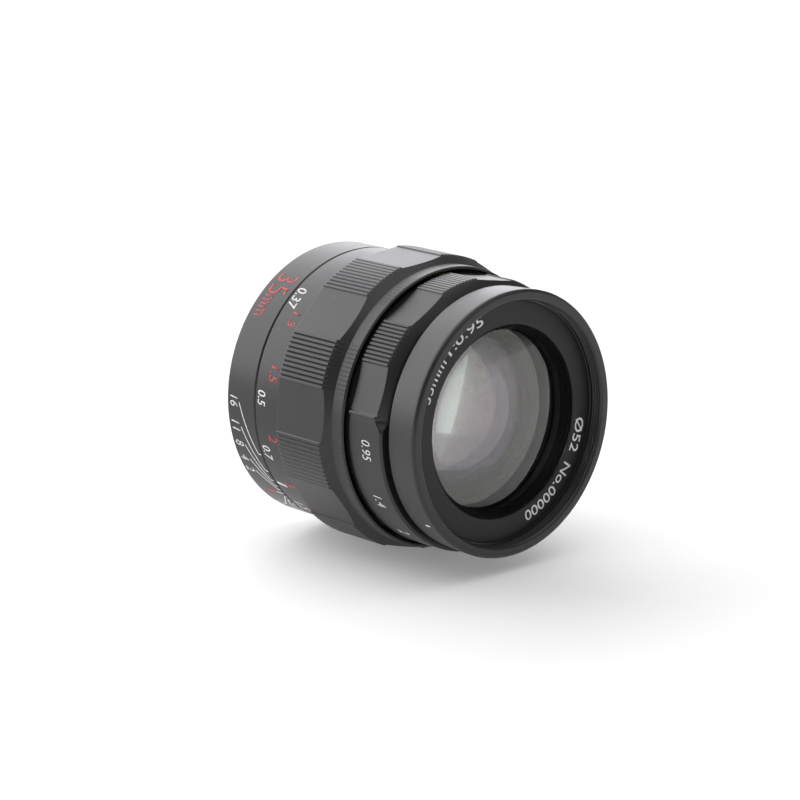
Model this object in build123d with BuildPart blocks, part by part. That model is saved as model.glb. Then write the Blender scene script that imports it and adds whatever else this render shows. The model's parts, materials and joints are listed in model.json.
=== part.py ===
from build123d import *
from math import asin, cos, degrees, radians, sin, sqrt
import os

# A fast manual-focus prime lens. The optical axis is Y: the front rim looks towards -Y and
# the bayonet towards +Y. The origin is the centre of the mount's flange face. A "station" is
# a distance in mm behind the front rim, and angles run from +X towards +Z.

# ---- overall sizes ----
flange_station = 57.0  # front rim to flange face
rim_radius = 28.0
barrel_rear_radius = 27.6
barrel_rear_station = 8.2
fixed_radius = 29.7  # fixed rear barrel
fixed_front_station = 46.95
flange_thickness = 2.15

# ---- clearances ----
running_gap = 0.08  # radial, turned parts that turn or slide in each other
seat_gap = 0.05  # between pieces that are screwed or pressed together
face_gap = 0.1  # axial, between faces that pass each other
cement_gap = 0.02
contact_gap = 0.03
cut_past = 1.0  # how far a cutter runs past the face it opens

# ---- filter thread and name ring ----
thread_minor_radius = 25.6  # M52 x 0.75
thread_lead_in = 0.5
thread_relief_radius = 26.0
thread_relief_width = 0.2
name_ring_station = 3.0
name_ring_thickness = 1.2
name_ring_inner_radius = 20.25
name_ring_outer_radius = 25.2
barrel_ledge_radius = 24.0
barrel_ledge_thickness = 0.4
barrel_neck_radius = 26.5
barrel_neck_length = 0.9

# ---- aperture ring ----
aperture_front_station = 9.2
aperture_rear_station = 18.7
aperture_lobe_radius = 28.95
aperture_plain_radius = 28.6
aperture_grip_front_radius = 26.6  # small end of the cone in front of the lobes
aperture_grip_cone_length = 1.9
aperture_plain_front_radius = 28.2
aperture_plain_cone_length = 0.5
aperture_corner_length = 2.4  # sloping corner at each end of the numbered zone
aperture_corner_width = 2.2
aperture_ridge_width = 0.7
aperture_first_lobe_angle = 140.5
aperture_lobe_count = 5
aperture_travel = 105.0  # degrees, widest to narrowest
aperture_rest = 34.0  # degrees closed from the widest setting

# ---- focus ring ----
focus_front_station = 19.48
focus_rear_station = 46.85
band_radius = 29.8
band_rear_station = 22.8
grip_radius = 31.5
grip_front_station = 25.0
grip_rear_station = 38.5
grip_first_lobe_angle = 155.5
grip_lobe_count = 9
scale_radius = 29.8
front_bore_radius = 29.2
front_bore_station = 22.6
helicoid_bore_radius = 28.0
retaining_bore_radius = 28.3
retaining_bore_station = 38.7
rib_station = 41.0
focus_travel_near = 84.0  # degrees from rest to closest focus
focus_travel_far = 29.0  # degrees from rest to infinity
helicoid_lead = 13.8  # mm of slide in one turn
slide_forward = helicoid_lead * focus_travel_near / 360
slide_back = helicoid_lead * focus_travel_far / 360

# ---- knurled lobes, both grips ----
lobe_pitch = 40.0
lobe_width = 20.0
ridges_per_lobe = 11
ridge_depth = 0.28
ridge_top_share = 0.45

# ---- carrier tube, which holds the whole optical unit ----
carrier_front_station = 4.65
carrier_neck_radius = 25.2
carrier_flange_radius = 28.4
carrier_flange_thickness = 1.4
carrier_bore_radius = 22.45
carrier_wall = 1.75
carrier_radius = carrier_bore_radius + carrier_wall
carrier_ledge_station = 35.0
carrier_ledge_radius = 15.0
carrier_ledge_thickness = 2.2
carrier_rear_bore_radius = 21.0
carrier_rear_station = 51.0
cell_seat_station = 10.2
cell_flange_radius = 24.0
cell_flange_thickness = 1.6

# ---- fixed sleeve, keys and stop ----
sleeve_radius = 27.2
sleeve_bore_radius = 25.6
sleeve_front_station = 39.0
sleeve_floor_thickness = 2.4
skirt_length = 1.35  # rear barrel wall that laps over the rim of the mount flange
mount_bore_radius = 21.4
retaining_ring_length = 1.9
key_width = 3.0
key_front_station = 44.2
key_rear_station = 50.4
key_inner_radius = 22.7
key_angles = (0, 180)
key_screw_station = 45.6
key_screw_radius = 0.7
key_screw_head_radius = 1.25
key_screw_head_thickness = 0.7
key_screw_head_sunk = 0.8
key_screw_slot_width = 0.3
key_screw_slot_depth = 0.3
stop_pin_radius = 0.8
stop_pin_station = 42.9
stop_pin_angle = 240.0
stop_pin_inner_radius = 26.2
stop_pin_outer_radius = 28.9
set_screw_radius = 1.0
set_screw_bite = 1.2  # into the helicoid ring
set_screw_sunk = 0.2  # below the flat it sits in
set_screw_socket_radius = 0.55
set_screw_socket_depth = 1.2
set_screw_station = 31.5
set_screw_angles = (295.5, 15.5)
helicoid_front_station = 25.5
helicoid_rear_station = 38.2

# ---- bayonet mount ----
flange_radius = 28.5
flange_front_station = flange_station - flange_thickness
fixed_rear_station = flange_front_station - seat_gap
sleeve_rear_station = fixed_rear_station - sleeve_floor_thickness
skirt_rear_station = fixed_rear_station + skirt_length
throat_radius = 20.4
bayonet_radius = 21.5
bayonet_shoulder_length = 2.1
bayonet_inner_radius = 21.3
bayonet_length = 4.6
lug_radius = 23.0
lug_length = 1.6
lug_width = 50.0
lug_angles = (60, 180, 300)
mount_screw_circle_radius = 25.4
mount_screw_angles = (45, 135, 225, 315)
mount_screw_radius = 0.8
mount_screw_head_radius = 1.6
mount_screw_length = 4.0
mount_screw_sunk = 0.03
mount_screw_recess_span = 1.7
mount_screw_recess_width = 0.35
mount_screw_recess_depth = 0.5
lock_hole_radius = 1.1
lock_hole_depth = 1.2
lock_hole_angle = 100.0
baffle_front = 2.6  # behind the flange face
baffle_rear = 4.3
baffle_width = 27.0
baffle_height = 20.0
baffle_corner_radius = 3.0

# ---- iris ----
blade_count = 12
open_radius = 11.3
pivot_circle_radius = 20.4
blade_width = 4.5
blade_span = 135.0  # degrees between a blade's two pins, seen from the axis when open
blade_end = 4.0  # degrees of band beyond each pin
blade_thickness = 0.06
blade_pitch = 0.11
pivot_pin_radius = 0.4
cam_pin_radius = 0.2
blade_tab_radius = 0.8
smallest_radius = 0.68
base_station = 28.8
base_thickness = 0.7
base_outer_radius = 21.4
base_inner_radius = 11.9
first_blade_station = 29.58
rotor_station = 31.0
rotor_thickness = 0.7
rotor_inner_radius = 12.0
drive_sleeve_inner_radius = 21.55
drive_sleeve_outer_radius = 22.35
drive_sleeve_station = 13.5
drive_pin_station = 15.5
drive_pin_radius = 1.0
drive_pin_angle = 20.0
drive_pin_outer_radius = 27.5
pin_hole_gap = 0.06
slot_gap = 0.06

blade_swing = degrees(2 * asin((open_radius - smallest_radius) / (2 * pivot_circle_radius)))
swing_per_turn = blade_swing / aperture_travel
rest_swing = swing_per_turn * aperture_rest

# ---- optical cells ----
front_cell_station = 5.8
front_cell_outer_radius = 21.3
front_cell_rear_station = 28.75
rear_cell_front_station = 32.0
rear_cell_flange_rear_station = 34.95
rear_cell_outer_radius = 14.6
rear_cell_rear_station = 57.7
rear_cell_lip_radius = 10.0
glass_gap = 0.05

os.makedirs("parts", exist_ok=True)


def depth(station):
    """World Y of a station behind the front rim."""
    return station - flange_station


def facing_front(station):
    """Sketch plane across the axis at a station, seen from the front."""
    return Plane.XZ.offset(-depth(station))


def facing_out(angle, station, radius):
    """Sketch plane square to a radius, at an angle round the axis."""
    outward = Vector(cos(radians(angle)), 0, sin(radians(angle)))
    return Plane(
        origin=outward * radius + Vector(0, depth(station), 0),
        x_dir=(0, 1, 0),
        z_dir=tuple(outward),
    )


def half_plane(angle):
    """Half section plane at an angle round the axis; a positive turn about Y lowers the angle."""
    return Plane(
        origin=(0, 0, 0),
        x_dir=(cos(radians(angle)), 0, sin(radians(angle))),
        z_dir=(-sin(radians(angle)), 0, cos(radians(angle))),
    )


def section(*corners):
    """Corners of a half section as (radius, station), ready to be turned about Y."""
    return [(radius, depth(station)) for radius, station in corners]


def turned(*corners):
    """A ring turned from a half section."""
    with BuildPart() as ring:
        with BuildSketch():
            Polygon(*section(*corners), align=None)
        revolve(axis=Axis.Y)
    return ring.part


def save(part, name):
    part.label = name
    export_step(part, f"parts/{name}.step")
    print(name, round(part.volume, 1))


def polar(radius, angle):
    return (radius * cos(radians(angle)), radius * sin(radians(angle)))


def lobe_points(centre, crest_radius):
    """One knurled lobe: flat-topped ridges with narrow grooves between them."""
    pitch = lobe_width / ridges_per_lobe
    root_radius = crest_radius - ridge_depth
    half_top = pitch * ridge_top_share / 2
    points = [polar(root_radius, centre - lobe_width / 2)]
    for ridge in range(ridges_per_lobe):
        middle = centre - lobe_width / 2 + (ridge + 0.5) * pitch
        points.append(polar(crest_radius, middle - half_top))
        points.append(polar(crest_radius, middle + half_top))
        points.append(polar(root_radius, middle + pitch / 2))
    return points


# ================= front barrel, name ring =================

barrel_ledge_station = name_ring_station + name_ring_thickness
neck_rear_station = barrel_rear_station + barrel_neck_length
with BuildPart() as front_barrel:
    with BuildSketch():
        Polygon(
            *section(
                (thread_minor_radius + thread_lead_in, 0.0),
                (rim_radius - 0.5, 0.0),
                (rim_radius, 0.5),
                (rim_radius, 1.2),
                (barrel_rear_radius, barrel_rear_station - 0.3),
                (barrel_rear_radius - 0.3, barrel_rear_station),
                (barrel_neck_radius, barrel_rear_station),
                (barrel_neck_radius, neck_rear_station),
                (carrier_neck_radius + seat_gap, neck_rear_station),
                (carrier_neck_radius + seat_gap, barrel_ledge_station + barrel_ledge_thickness),
                (barrel_ledge_radius, barrel_ledge_station + barrel_ledge_thickness),
                (barrel_ledge_radius, barrel_ledge_station),
                (name_ring_outer_radius + seat_gap, barrel_ledge_station),
                (name_ring_outer_radius + seat_gap, name_ring_station),
                (thread_relief_radius, name_ring_station),
                (thread_relief_radius, name_ring_station - thread_relief_width),
                (thread_minor_radius, name_ring_station - thread_relief_width),
                (thread_minor_radius, thread_lead_in),
            ),
            align=None,
        )
    revolve(axis=Axis.Y)
save(front_barrel.part, "front_barrel")

with BuildPart() as name_ring:
    with BuildSketch():
        Polygon(
            *section(
                (name_ring_inner_radius, name_ring_station + 0.25),
                (name_ring_inner_radius + 0.25, name_ring_station),
                (name_ring_outer_radius, name_ring_station),
                (name_ring_outer_radius, barrel_ledge_station - 0.02),
                (name_ring_inner_radius, barrel_ledge_station - 0.02),
            ),
            align=None,
        )
    revolve(axis=Axis.Y)
save(name_ring.part, "name_ring")

# ================= carrier tube =================

flange_front = aperture_rear_station + face_gap
slot_margin = degrees((drive_pin_radius + 0.4) / carrier_neck_radius)
slot_start = drive_pin_angle - (aperture_travel - aperture_rest) - slot_margin
slot_end = drive_pin_angle + aperture_rest + slot_margin
with BuildPart() as carrier_tube:
    with BuildSketch():
        Polygon(
            *section(
                (cell_flange_radius + seat_gap, carrier_front_station),
                (carrier_neck_radius, carrier_front_station),
                (carrier_neck_radius, flange_front),
                (carrier_flange_radius, flange_front),
                (carrier_flange_radius, flange_front + carrier_flange_thickness),
                (carrier_radius, flange_front + carrier_flange_thickness),
                (carrier_radius, carrier_rear_station),
                (carrier_rear_bore_radius, carrier_rear_station),
                (carrier_rear_bore_radius, carrier_ledge_station + carrier_ledge_thickness),
                (carrier_ledge_radius, carrier_ledge_station + carrier_ledge_thickness),
                (carrier_ledge_radius, carrier_ledge_station),
                (carrier_bore_radius, carrier_ledge_station),
                (carrier_bore_radius, cell_seat_station),
                (cell_flange_radius + seat_gap, cell_seat_station),
            ),
            align=None,
        )
    revolve(axis=Axis.Y)
    # slot round the wall for the pin that drives the iris
    with BuildSketch(facing_front(drive_pin_station - drive_pin_radius - 0.15)):
        with BuildLine():
            CenterArc((0, 0), carrier_neck_radius + 1, slot_start, slot_end - slot_start)
            Line(polar(carrier_neck_radius + 1, slot_end), (0, 0))
            Line((0, 0), polar(carrier_neck_radius + 1, slot_start))
        make_face()
        Circle(carrier_bore_radius - 0.5, mode=Mode.SUBTRACT)
    extrude(amount=-2 * (drive_pin_radius + 0.15), mode=Mode.SUBTRACT)
    # straight grooves for the guide keys
    groove_front = key_front_station - slide_back - 1.0
    for angle in key_angles:
        groove_middle = (groove_front + carrier_rear_station + 1) / 2
        with BuildSketch(facing_out(angle, groove_middle, key_inner_radius - 0.2)):
            Rectangle(carrier_rear_station + 1 - groove_front, key_width + 2 * running_gap)
        extrude(amount=carrier_radius, mode=Mode.SUBTRACT)
save(carrier_tube.part, "carrier_tube")

# ================= aperture ring =================

aperture_length = aperture_rear_station - aperture_front_station
aperture_lobes = [aperture_first_lobe_angle - lobe_pitch * i for i in range(aperture_lobe_count)][::-1]
plain_start = aperture_first_lobe_angle + lobe_pitch - lobe_width / 2 + 1.0
plain_end = aperture_lobes[0] - (lobe_pitch - lobe_width / 2) - 1.0 + 360
aperture_root_radius = aperture_lobe_radius - ridge_depth
with BuildPart() as aperture_ring:
    # knurled lobes and flat scallops; the plain zone is filled in below
    with BuildSketch(facing_front(aperture_front_station)):
        with BuildLine():
            outline = [polar(aperture_root_radius, plain_end - 360)]
            for centre in aperture_lobes:
                outline += lobe_points(centre, aperture_lobe_radius)
            outline.append(polar(aperture_root_radius, plain_start))
            Polyline(*outline)
            hidden_arc = CenterArc((0, 0), aperture_root_radius, plain_start, plain_end - plain_start)
        make_face()
    extrude(amount=-aperture_length)
    # a ridge between the scallops and each end of the numbered zone
    ridge_base_radius = aperture_plain_radius - 1.0
    for angle in (plain_start, plain_end):
        middle = (aperture_front_station + aperture_rear_station) / 2
        with BuildSketch(facing_out(angle, middle, ridge_base_radius)):
            Rectangle(aperture_length, aperture_ridge_width)
        extrude(amount=aperture_lobe_radius - ridge_base_radius)
    grip_cone_rear = aperture_front_station + aperture_grip_cone_length
    with BuildSketch():
        Polygon(
            *section(
                (0.0, aperture_front_station),
                (aperture_grip_front_radius, aperture_front_station),
                (aperture_lobe_radius + 0.01, grip_cone_rear),
                (aperture_lobe_radius + 0.01, aperture_rear_station),
                (0.0, aperture_rear_station),
            ),
            align=None,
        )
    revolve(axis=Axis.Y, mode=Mode.INTERSECT)
    # numbered zone, a plain sector with its front corners cut off
    plain_cone_rear = aperture_front_station + aperture_plain_cone_length
    with BuildSketch(half_plane(plain_end)):
        Polygon(
            *section(
                (carrier_neck_radius, aperture_front_station),
                (aperture_plain_front_radius, aperture_front_station),
                (aperture_plain_radius, plain_cone_rear),
                (aperture_plain_radius, aperture_rear_station),
                (carrier_neck_radius, aperture_rear_station),
            ),
            align=None,
        )
    revolve(axis=Axis.Y, revolution_arc=plain_end - plain_start)
    half_ridge = degrees(aperture_ridge_width / 2 / aperture_plain_radius)
    for angle, side in ((plain_start + half_ridge, 1), (plain_end - half_ridge, -1)):
        corner = [
            (-0.1, 0),
            (-0.1, side * aperture_corner_width),
            (aperture_corner_length, 0),
        ]
        with BuildSketch(facing_out(angle, aperture_front_station, aperture_grip_front_radius + 0.6)):
            Polygon(*corner, align=None)
        extrude(amount=2 + cut_past, mode=Mode.SUBTRACT)
    with BuildSketch(facing_front(aperture_front_station)):
        Circle(carrier_neck_radius + running_gap)
    extrude(amount=-aperture_length, mode=Mode.SUBTRACT)
    with BuildSketch(facing_out(drive_pin_angle, drive_pin_station, carrier_neck_radius - 1)):
        Circle(drive_pin_radius + seat_gap)
    extrude(amount=drive_pin_outer_radius + seat_gap - carrier_neck_radius + 1, mode=Mode.SUBTRACT)
save(aperture_ring.part, "aperture_ring")

with BuildPart() as aperture_drive_pin:
    with BuildSketch(facing_out(drive_pin_angle, drive_pin_station, drive_sleeve_inner_radius)):
        Circle(drive_pin_radius)
    extrude(amount=drive_pin_outer_radius - drive_sleeve_inner_radius)
save(aperture_drive_pin.part, "aperture_drive_pin")

# ================= iris =================


def far_pin(swing):
    """Far pin of a blade whose pivot is at angle 0, after it has swung inwards."""
    pin = Vector(*polar(pivot_circle_radius, -blade_span)) - Vector(pivot_circle_radius, 0)
    return pin.rotate(Axis.Z, -swing) + Vector(pivot_circle_radius, 0)


def cam_point(swing):
    """The same pin seen from the rotor, which is drawn in its rest position."""
    return far_pin(swing).rotate(Axis.Z, (swing - rest_swing) / swing_per_turn)


with BuildPart() as iris_base_ring:
    with BuildSketch(facing_front(base_station)):
        Circle(base_outer_radius)
        Circle(base_inner_radius, mode=Mode.SUBTRACT)
        with PolarLocations(pivot_circle_radius, blade_count):
            Circle(pivot_pin_radius + pin_hole_gap, mode=Mode.SUBTRACT)
    extrude(amount=-base_thickness)
save(iris_base_ring.part, "iris_base_ring")

slot_half_width = cam_pin_radius + slot_gap
cam_steps = 9
with BuildSketch(facing_front(rotor_station)) as cam_slot:
    with BuildLine():
        Spline(*[tuple(cam_point(blade_swing * i / (cam_steps - 1)))[:2] for i in range(cam_steps)])
    trace(line_width=2 * slot_half_width)
    for swing in (0, blade_swing):
        with Locations(tuple(cam_point(swing))[:2]):
            Circle(slot_half_width)

rotor_rear_station = rotor_station + rotor_thickness
with BuildPart() as iris_rotor:
    # flat cam ring, with a sleeve that reaches forward to the drive pin
    with BuildSketch():
        Polygon(
            *section(
                (rotor_inner_radius, rotor_station),
                (drive_sleeve_inner_radius, rotor_station),
                (drive_sleeve_inner_radius, drive_sleeve_station),
                (drive_sleeve_outer_radius, drive_sleeve_station),
                (drive_sleeve_outer_radius, rotor_rear_station),
                (rotor_inner_radius, rotor_rear_station),
            ),
            align=None,
        )
    revolve(axis=Axis.Y)
    for index in range(blade_count):
        turned_slot = cam_slot.sketch.rotate(Axis.Y, -index * 360 / blade_count)
        extrude(turned_slot, amount=2 * rotor_thickness, both=True, mode=Mode.SUBTRACT)
    with BuildSketch(facing_out(drive_pin_angle, drive_pin_station, drive_sleeve_inner_radius - 1)):
        Circle(drive_pin_radius + seat_gap)
    sleeve_wall = drive_sleeve_outer_radius - drive_sleeve_inner_radius
    extrude(amount=sleeve_wall + 1 + cut_past, mode=Mode.SUBTRACT)
save(iris_rotor.part, "iris_rotor")

arc_centre = (-pivot_circle_radius, 0)
outer_band_radius = open_radius + blade_width
for index in range(blade_count):
    pivot_angle = index * 360 / blade_count
    station = first_blade_station + index * blade_pitch
    blade_direction = pivot_angle - rest_swing
    pivot_x, pivot_z = polar(pivot_circle_radius, pivot_angle)
    blade_plane = Plane(
        origin=(pivot_x, depth(station), pivot_z),
        x_dir=(cos(radians(blade_direction)), 0, sin(radians(blade_direction))),
        z_dir=(0, -1, 0),
    )
    far_x, far_y = polar(pivot_circle_radius, -blade_span)
    far_place = (far_x - pivot_circle_radius, far_y)
    with BuildPart() as blade:
        with BuildSketch(blade_plane):
            with BuildLine():
                sweep_angle = -(blade_span + 2 * blade_end)
                inner_arc = CenterArc(arc_centre, open_radius, blade_end, sweep_angle)
                outer_arc = CenterArc(arc_centre, outer_band_radius, blade_end, sweep_angle)
                Line(inner_arc @ 0, outer_arc @ 0)
                Line(inner_arc @ 1, outer_arc @ 1)
            make_face()
            tab_length = pivot_circle_radius - outer_band_radius + 1.0
            with Locations((-tab_length / 2, 0)):
                Rectangle(tab_length, 2 * blade_tab_radius)
            Circle(blade_tab_radius)
            with Locations(Location(far_place, -blade_span)):
                Circle(blade_tab_radius)
                with Locations((-tab_length / 2, 0)):
                    Rectangle(tab_length, 2 * blade_tab_radius)
        extrude(amount=-blade_thickness)
        with BuildSketch(blade_plane):
            Circle(pivot_pin_radius)
        extrude(amount=station - base_station - 0.1)
        with BuildSketch(blade_plane):
            with Locations(far_place):
                Circle(cam_pin_radius)
        extrude(amount=-(rotor_station + rotor_thickness - 0.1 - station))
    save(blade.part, f"iris_blade_{index + 1:02d}")

# ================= focus ring and helicoid =================

grip_length = grip_rear_station - grip_front_station
with BuildPart() as focus_ring:
    with BuildSketch(facing_front(band_rear_station)):
        with BuildLine():
            outline = []
            for lobe in range(grip_lobe_count):
                outline += lobe_points(grip_first_lobe_angle + lobe * lobe_pitch, grip_radius)
            Polyline(*outline, close=True)
        make_face()
    extrude(amount=-(grip_rear_station - band_rear_station))
    with BuildSketch():
        Polygon(
            *section(
                (0.0, band_rear_station),
                (band_radius, band_rear_station),
                (grip_radius, grip_front_station),
                (grip_radius + 0.01, grip_rear_station - 0.3),
                (grip_radius - 0.3, grip_rear_station),
                (0.0, grip_rear_station),
            ),
            align=None,
        )
    revolve(axis=Axis.Y, mode=Mode.INTERSECT)
    # plain band in front of the grip and distance scale behind it
    with BuildSketch():
        Polygon(
            *section(
                (0.0, focus_front_station),
                (band_radius - 0.3, focus_front_station),
                (band_radius, focus_front_station + 0.3),
                (band_radius, band_rear_station + 0.5),
                (0.0, band_rear_station + 0.5),
            ),
            align=None,
        )
        Polygon(
            *section(
                (0.0, grip_rear_station - 0.5),
                (scale_radius, grip_rear_station - 0.5),
                (scale_radius, focus_rear_station - 0.2),
                (scale_radius - 0.2, focus_rear_station),
                (0.0, focus_rear_station),
            ),
            align=None,
        )
    revolve(axis=Axis.Y)
    with BuildSketch():
        Polygon(
            *section(
                (0.0, focus_front_station - 1),
                (front_bore_radius, focus_front_station - 1),
                (front_bore_radius, front_bore_station),
                (helicoid_bore_radius, front_bore_station),
                (helicoid_bore_radius, retaining_bore_station),
                (retaining_bore_radius, retaining_bore_station),
                (retaining_bore_radius, rib_station),
                (sleeve_radius + running_gap, rib_station),
                (sleeve_radius + running_gap, focus_rear_station + 1),
                (0.0, focus_rear_station + 1),
            ),
            align=None,
        )
    revolve(axis=Axis.Y, mode=Mode.SUBTRACT)
    for angle in set_screw_angles:
        with BuildSketch(facing_out(angle, set_screw_station, helicoid_bore_radius - 2)):
            Circle(set_screw_radius + seat_gap)
        extrude(amount=grip_radius - helicoid_bore_radius + 2 + cut_past, mode=Mode.SUBTRACT)
    with BuildSketch(facing_out(stop_pin_angle, stop_pin_station, sleeve_radius - 1)):
        Circle(stop_pin_radius + seat_gap)
    extrude(amount=stop_pin_outer_radius + seat_gap - sleeve_radius + 1, mode=Mode.SUBTRACT)
save(focus_ring.part, "focus_ring")

with BuildPart() as helicoid_ring:
    with BuildSketch():
        Polygon(
            *section(
                (carrier_radius + running_gap, helicoid_front_station),
                (helicoid_bore_radius - seat_gap, helicoid_front_station),
                (helicoid_bore_radius - seat_gap, helicoid_rear_station),
                (carrier_radius + running_gap, helicoid_rear_station),
            ),
            align=None,
        )
    revolve(axis=Axis.Y)
    screw_tip_radius = helicoid_bore_radius - set_screw_bite
    for angle in set_screw_angles:
        with BuildSketch(facing_out(angle, set_screw_station, screw_tip_radius - seat_gap)):
            Circle(set_screw_radius + seat_gap)
        extrude(amount=set_screw_bite + cut_past, mode=Mode.SUBTRACT)
save(helicoid_ring.part, "helicoid_ring")

scallop_radius = (grip_radius - ridge_depth) * cos(radians((lobe_pitch - lobe_width) / 2))
with BuildPart() as focus_set_screws:
    for angle in set_screw_angles:
        with BuildSketch(facing_out(angle, set_screw_station, screw_tip_radius)):
            Circle(set_screw_radius)
        extrude(amount=scallop_radius - set_screw_sunk - screw_tip_radius)
        with BuildSketch(facing_out(angle, set_screw_station, scallop_radius - set_screw_socket_depth)):
            RegularPolygon(set_screw_socket_radius, 6)
        extrude(amount=set_screw_socket_depth + cut_past, mode=Mode.SUBTRACT)
save(focus_set_screws.part, "focus_set_screws")

with BuildPart() as focus_stop_pin:
    with BuildSketch(facing_out(stop_pin_angle, stop_pin_station, stop_pin_inner_radius)):
        Circle(stop_pin_radius)
    extrude(amount=stop_pin_outer_radius - stop_pin_inner_radius)
save(focus_stop_pin.part, "focus_stop_pin")

# ================= fixed rear barrel =================

stop_margin = degrees((stop_pin_radius + 0.4) / sleeve_radius)
stop_slot_start = stop_pin_angle - focus_travel_far - stop_margin
stop_slot_sweep = focus_travel_far + focus_travel_near + 2 * stop_margin
with BuildPart() as rear_barrel:
    with BuildSketch():
        Polygon(
            *section(
                (sleeve_bore_radius, sleeve_front_station),
                (sleeve_radius, sleeve_front_station),
                (sleeve_radius, fixed_front_station),
                (fixed_radius - 0.2, fixed_front_station),
                (fixed_radius, fixed_front_station + 0.2),
                (fixed_radius + 0.1, skirt_rear_station - 0.4),
                (fixed_radius - 0.3, skirt_rear_station),
                (flange_radius + seat_gap, skirt_rear_station),
                (flange_radius + seat_gap, fixed_rear_station),
                (mount_bore_radius, fixed_rear_station),
                (mount_bore_radius, sleeve_rear_station),
                (sleeve_bore_radius, sleeve_rear_station),
            ),
            align=None,
        )
    revolve(axis=Axis.Y)
    # slot round the sleeve, whose ends stop the focus ring's pin
    with BuildSketch(facing_front(stop_pin_station - stop_pin_radius - 0.1)):
        with BuildLine():
            CenterArc((0, 0), sleeve_radius + 1, stop_slot_start, stop_slot_sweep)
            Line(polar(sleeve_radius + 1, stop_slot_start + stop_slot_sweep), (0, 0))
            Line((0, 0), polar(sleeve_radius + 1, stop_slot_start))
        make_face()
        Circle(stop_pin_inner_radius - 0.15, mode=Mode.SUBTRACT)
    extrude(amount=-2 * (stop_pin_radius + 0.1), mode=Mode.SUBTRACT)
    for angle in key_angles:
        with BuildSketch(facing_out(angle, key_screw_station, sleeve_bore_radius - 0.5)):
            Circle(key_screw_radius + seat_gap)
        extrude(amount=sleeve_radius - sleeve_bore_radius + cut_past, mode=Mode.SUBTRACT)
        pocket_floor = sleeve_radius - key_screw_head_sunk - seat_gap
        with BuildSketch(facing_out(angle, key_screw_station, pocket_floor)):
            Circle(key_screw_head_radius + seat_gap)
        extrude(amount=cut_past, mode=Mode.SUBTRACT)
    for angle in mount_screw_angles:
        x, z = polar(mount_screw_circle_radius, angle)
        with BuildSketch(facing_front(fixed_rear_station)):
            with Locations((x, z)):
                Circle(mount_screw_radius + seat_gap)
        extrude(amount=mount_screw_length - (flange_station - fixed_rear_station) + 0.2, mode=Mode.SUBTRACT)
save(rear_barrel.part, "rear_barrel")

save(
    turned(
        (sleeve_bore_radius, sleeve_front_station - seat_gap),
        (sleeve_bore_radius, sleeve_front_station - 0.25),
        (retaining_bore_radius - running_gap, sleeve_front_station - 0.25),
        (retaining_bore_radius - running_gap, sleeve_front_station - 0.25 + retaining_ring_length),
        (sleeve_radius + seat_gap, sleeve_front_station - 0.25 + retaining_ring_length),
        (sleeve_radius + seat_gap, sleeve_front_station - seat_gap),
    ),
    "focus_retaining_ring",
)

with BuildPart() as guide_keys:
    for angle in key_angles:
        middle = (key_front_station + key_rear_station) / 2
        with BuildSketch(facing_out(angle, middle, key_inner_radius)):
            Rectangle(key_rear_station - key_front_station, key_width)
        extrude(amount=sleeve_bore_radius - key_inner_radius)
    with BuildSketch(facing_front(key_front_station - 1)):
        Circle(sleeve_bore_radius - 0.01)
    extrude(amount=-(key_rear_station - key_front_station + 2), mode=Mode.INTERSECT)
    for angle in key_angles:
        with BuildSketch(facing_out(angle, key_screw_station, key_inner_radius + 0.8)):
            Circle(key_screw_radius + seat_gap)
        extrude(amount=sleeve_bore_radius - key_inner_radius + cut_past, mode=Mode.SUBTRACT)
save(guide_keys.part, "guide_keys")

with BuildPart() as guide_key_screws:
    head_seat_radius = sleeve_radius - key_screw_head_sunk
    for angle in key_angles:
        with BuildSketch(facing_out(angle, key_screw_station, key_inner_radius + 0.9)):
            Circle(key_screw_radius)
        extrude(amount=head_seat_radius - key_inner_radius - 0.9)
        with BuildSketch(facing_out(angle, key_screw_station, head_seat_radius)):
            Circle(key_screw_head_radius)
        extrude(amount=key_screw_head_thickness)
        slot_floor = head_seat_radius + key_screw_head_thickness - key_screw_slot_depth
        with BuildSketch(facing_out(angle, key_screw_station, slot_floor)):
            Rectangle(3 * key_screw_head_radius, key_screw_slot_width)
        extrude(amount=cut_past, mode=Mode.SUBTRACT)
save(guide_key_screws.part, "guide_key_screws")

# ================= bayonet mount =================

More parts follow.
